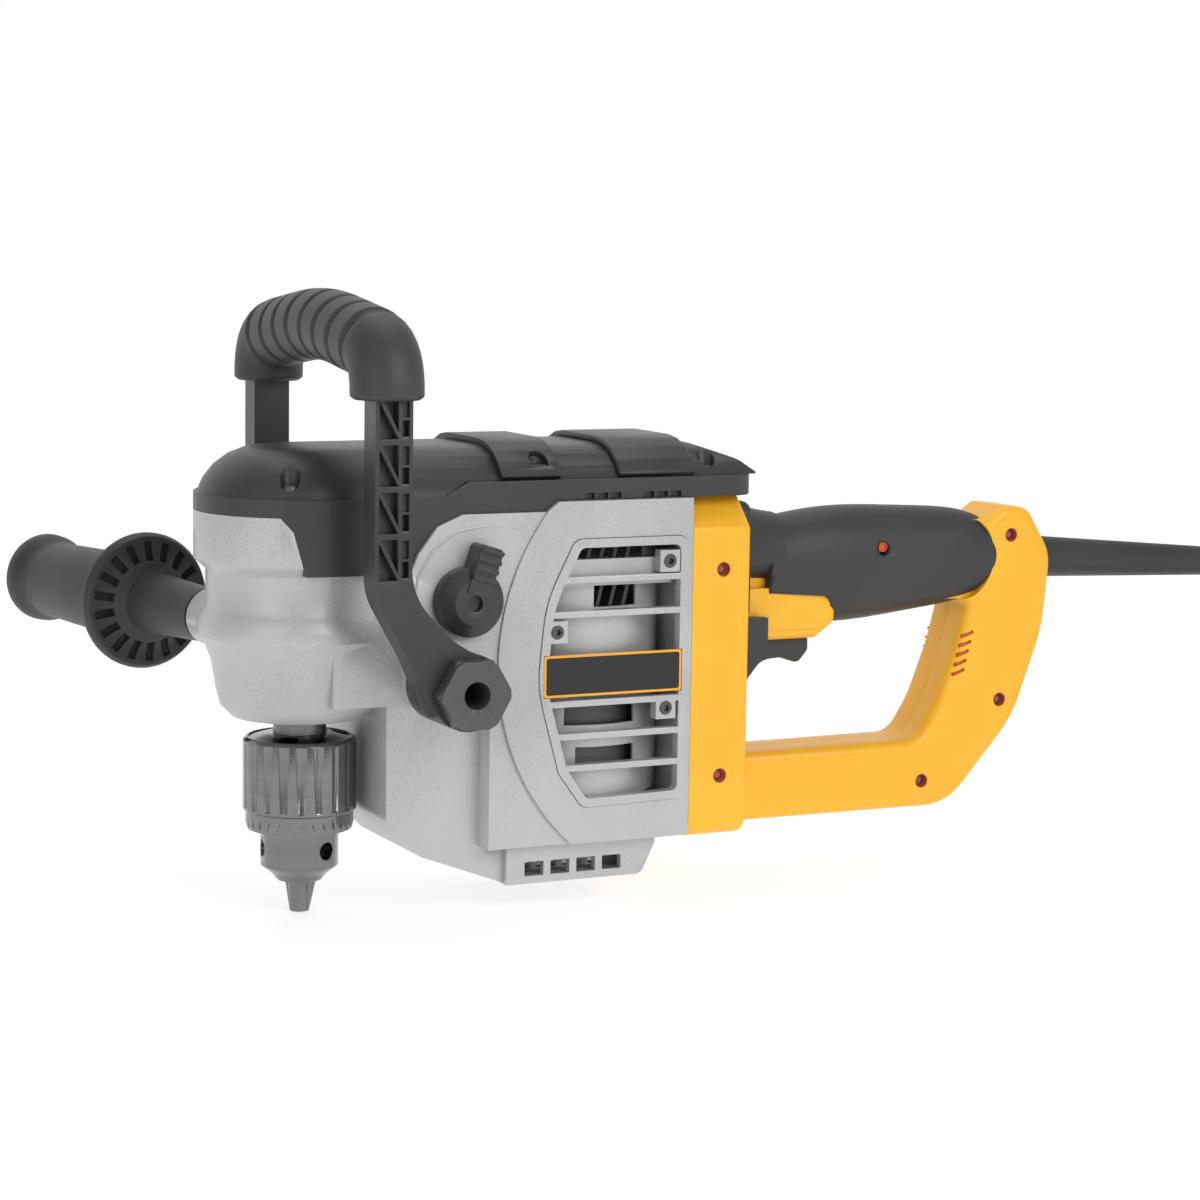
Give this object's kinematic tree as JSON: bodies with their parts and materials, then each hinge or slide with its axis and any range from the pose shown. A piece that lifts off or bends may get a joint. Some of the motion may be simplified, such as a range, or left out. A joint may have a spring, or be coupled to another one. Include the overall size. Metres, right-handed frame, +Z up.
{
  "type": "right-angle drill",
  "caption": "Corded right-angle stud and joist drill with a keyed chuck, bail and side handles, side vents, a rear loop handle with a paddle trigger, and a mains lead.",
  "frame": {"origin": "on the spindle axis, at the tips of the closed chuck jaws", "axes": "+X towards the rear handle, +Z up along the spindle away from the bit, -Y towards the tool's left side"},
  "size_m": [0.7171, 0.3874, 0.2799],
  "materials": {
    "silver_paint": "light silver-grey textured paint",
    "black_plastic": "charcoal, finely textured",
    "yellow_plastic": "warm yellow, satin",
    "black_rubber": "charcoal soft rubber",
    "chuck_steel": "polished, turned",
    "gear_steel": "ground",
    "bolt_steel": "black oxide",
    "alloy": "cast",
    "frame_paint": "black textured paint",
    "core_iron": "stacked sheets",
    "winding_copper": "enamelled copper wire",
    "carbon": "graphite",
    "badge": "plain, no lettering",
    "fan_plastic": "moulded"
  },
  "bodies": {
    "case": {"gear_case": "silver_paint", "upper_housing": "black_plastic", "top_cover": "black_plastic", "motor_housing": "silver_paint", "vent_cage": "silver_paint", "bearing_plate": "alloy", "motor_bracket": "alloy", "left_grille": "silver_paint", "right_grille": "silver_paint", "badge_plates": "badge", "left_handle_half": "yellow_plastic", "right_handle_half": "yellow_plastic", "handle_grip": "black_rubber", "switch_body": "black_plastic", "trigger_spring": "gear_steel", "pivot_bolts": "bolt_steel", "spindle_bearings": "gear_steel", "spindle_seal": "black_rubber", "shaft_bearings": "gear_steel", "armature_bearings": "gear_steel", "field_stack": "core_iron", "field_coils": "winding_copper", "brush_holders": "winding_copper", "left_brush_spring": "gear_steel", "right_brush_spring": "gear_steel", "lead_boot": "black_rubber", "lead": "black_rubber", "lead_coil": "black_rubber", "plug": "black_rubber", "case_screws": "bolt_steel"},
    "armature": {"armature_shaft": "gear_steel", "armature_core": "core_iron", "commutator": "winding_copper", "motor_fan": "fan_plastic"},
    "first_intermediate": {"first_shaft": "gear_steel", "first_gear": "gear_steel"},
    "second_intermediate": {"second_shaft": "gear_steel", "second_low_pinion": "gear_steel", "second_driven_gear": "gear_steel"},
    "high_gear": {"second_high_gear": "gear_steel"},
    "collar": {"shift_collar": "gear_steel"},
    "fork": {"shift_fork": "gear_steel"},
    "speed_lever": {"shift_lever": "black_plastic"},
    "spindle": {"spindle": "gear_steel", "spindle_low_gear": "gear_steel", "spindle_high_gear": "gear_steel", "chuck_body": "chuck_steel"},
    "sleeve": {"chuck_sleeve": "chuck_steel", "chuck_nut": "chuck_steel"},
    "jaw_1": {"jaw_1": "gear_steel"},
    "jaw_2": {"jaw_2": "gear_steel"},
    "jaw_3": {"jaw_3": "gear_steel"},
    "trigger": {"trigger": "black_plastic"},
    "reversing_lever": {"reversing_lever": "black_plastic"},
    "bail": {"bail_frame": "frame_paint", "bail_grip": "black_rubber"},
    "side_stud": {"side_stud": "gear_steel"},
    "side_handle": {"side_grip": "black_rubber"},
    "left_brush": {"left_brush": "carbon"},
    "right_brush": {"right_brush": "carbon"}
  },
  "joints": [
    {"name": "armature_spin", "type": "hinge", "parent": "case", "child": "armature", "pos_m": [0.12962, 0, 0.1], "axis": [0, 0, 1], "continuous": true},
    {"name": "first_spin", "type": "hinge", "parent": "case", "child": "first_intermediate", "pos_m": [0.0915, 0, 0.1], "axis": [0, 0, 1], "continuous": true},
    {"name": "second_spin", "type": "hinge", "parent": "case", "child": "second_intermediate", "pos_m": [0.048, 0, 0.1], "axis": [0, 0, 1], "continuous": true},
    {"name": "high_gear_spin", "type": "hinge", "parent": "case", "child": "high_gear", "pos_m": [0.048, 0, 0.1], "axis": [0, 0, 1], "continuous": true},
    {"name": "spindle_spin", "type": "hinge", "parent": "case", "child": "spindle", "pos_m": [0, 0, 0.1], "axis": [0, 0, 1], "continuous": true},
    {"name": "shift_lever_turn", "type": "hinge", "parent": "case", "child": "speed_lever", "pos_m": [0.059, -0.049, 0.1444], "axis": [0, -1, 0], "range_deg": [0, 80]},
    {"name": "shift_fork_slide", "type": "slide", "parent": "case", "child": "fork", "axis": [0, 0, 1], "range_m": [0, 0.006]},
    {"name": "shift_collar_slide", "type": "slide", "parent": "second_intermediate", "child": "collar", "axis": [0, 0, 1], "range_m": [0, 0.006]},
    {"name": "trigger_pull", "type": "hinge", "parent": "case", "child": "trigger", "pos_m": [0.211, 0, 0.113], "axis": [0, -1, 0], "range_deg": [0, 5], "stiffness_Nm_per_rad": 3, "springref_deg": -4.58, "deforming": ["trigger_spring"]},
    {"name": "reversing_lever_turn", "type": "hinge", "parent": "case", "child": "reversing_lever", "pos_m": [0.22, 0, 0.124], "axis": [0, 0, 1], "range_deg": [-10, 10]},
    {"name": "bail_swing", "type": "hinge", "parent": "case", "child": "bail", "pos_m": [0.047, 0, 0.109], "axis": [0, 1, 0], "range_deg": [-22, 50]},
    {"name": "side_handle_screw", "type": "slide", "parent": "case", "child": "side_stud", "axis": [-0.1822, 0.9833, 0], "range_m": [0, 0.016]},
    {"name": "side_handle_turn", "type": "hinge", "parent": "side_stud", "child": "side_handle", "pos_m": [-0.0129, 0, 0.128], "axis": [-0.1822, 0.9833, 0], "range_deg": [0, 2880]},
    {"name": "left_brush_slide", "type": "slide", "parent": "case", "child": "left_brush", "axis": [0, -1, 0], "range_m": [0, 0.008], "stiffness_N_per_m": 150, "springref_m": -0.01, "deforming": ["left_brush_spring"]},
    {"name": "right_brush_slide", "type": "slide", "parent": "case", "child": "right_brush", "axis": [0, 1, 0], "range_m": [0, 0.008], "stiffness_N_per_m": 150, "springref_m": -0.01, "deforming": ["right_brush_spring"]},
    {"name": "chuck_sleeve_turn", "type": "hinge", "parent": "spindle", "child": "sleeve", "pos_m": [0, 0, 0.06], "axis": [0, 0, 1], "range_deg": [0, 4320]},
    {"name": "jaw_1_slide", "type": "slide", "parent": "spindle", "child": "jaw_1", "axis": [0.2237, -0.0235, 0.9744], "range_m": [0, 0.0289]},
    {"name": "jaw_2_slide", "type": "slide", "parent": "spindle", "child": "jaw_2", "axis": [-0.0915, 0.2055, 0.9744], "range_m": [0, 0.0289]},
    {"name": "jaw_3_slide", "type": "slide", "parent": "spindle", "child": "jaw_3", "axis": [-0.1322, -0.182, 0.9744], "range_m": [0, 0.0289]}
  ],
  "couplings": [
    {"joint": "first_spin", "follows": "armature_spin", "ratio": -0.17308},
    {"joint": "second_spin", "follows": "armature_spin", "ratio": 0.045151},
    {"joint": "spindle_spin", "follows": "armature_spin", "ratio": -0.018591},
    {"joint": "high_gear_spin", "follows": "armature_spin", "ratio": 0.015731},
    {"joint": "shift_fork_slide", "follows": "shift_lever_turn", "m_per_rad": 0.004297},
    {"joint": "shift_collar_slide", "follows": "shift_lever_turn", "m_per_rad": 0.004297},
    {"joint": "side_handle_screw", "follows": "side_handle_turn", "m_per_rad": 0.0003183},
    {"joint": "jaw_1_slide", "follows": "chuck_sleeve_turn", "m_per_rad": 0.000383},
    {"joint": "jaw_2_slide", "follows": "chuck_sleeve_turn", "m_per_rad": 0.000383},
    {"joint": "jaw_3_slide", "follows": "chuck_sleeve_turn", "m_per_rad": 0.000383}
  ]
}
